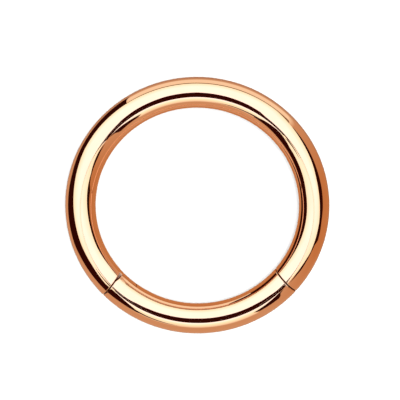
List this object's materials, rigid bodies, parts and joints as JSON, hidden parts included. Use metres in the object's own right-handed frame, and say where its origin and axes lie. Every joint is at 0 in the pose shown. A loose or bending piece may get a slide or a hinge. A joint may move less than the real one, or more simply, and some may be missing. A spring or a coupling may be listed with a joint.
{
  "type": "hinged segment piercing ring",
  "caption": "Round-wire piercing ring in polished rose gold, with a short arc that swings out on a hinge and closes with a tab.",
  "frame": {"origin": "middle of the closed ring, on the surface that it lies on", "axes": "+Z along the ring's axis, upwards as it lies on its side; +Y away from the hinged segment, so the segment is at -Y with its hinge towards -X"},
  "size_m": [0.0104, 0.0104, 0.0012],
  "materials": {
    "polished_rose_gold": "mirror-polished rose-gold plating on steel",
    "pin_metal": "satin rose-gold plated end of a steel pin"
  },
  "bodies": {
    "ring": {"ring_body": "polished_rose_gold"},
    "segment": {"hinged_segment": "polished_rose_gold", "hinge_pin": "pin_metal"}
  },
  "joints": [
    {"name": "segment_hinge", "type": "hinge", "parent": "ring", "child": "segment", "pos_m": [-0.00278, -0.00395, 0.0006], "axis": [0, 0, -1], "range_deg": [0, 130]}
  ]
}
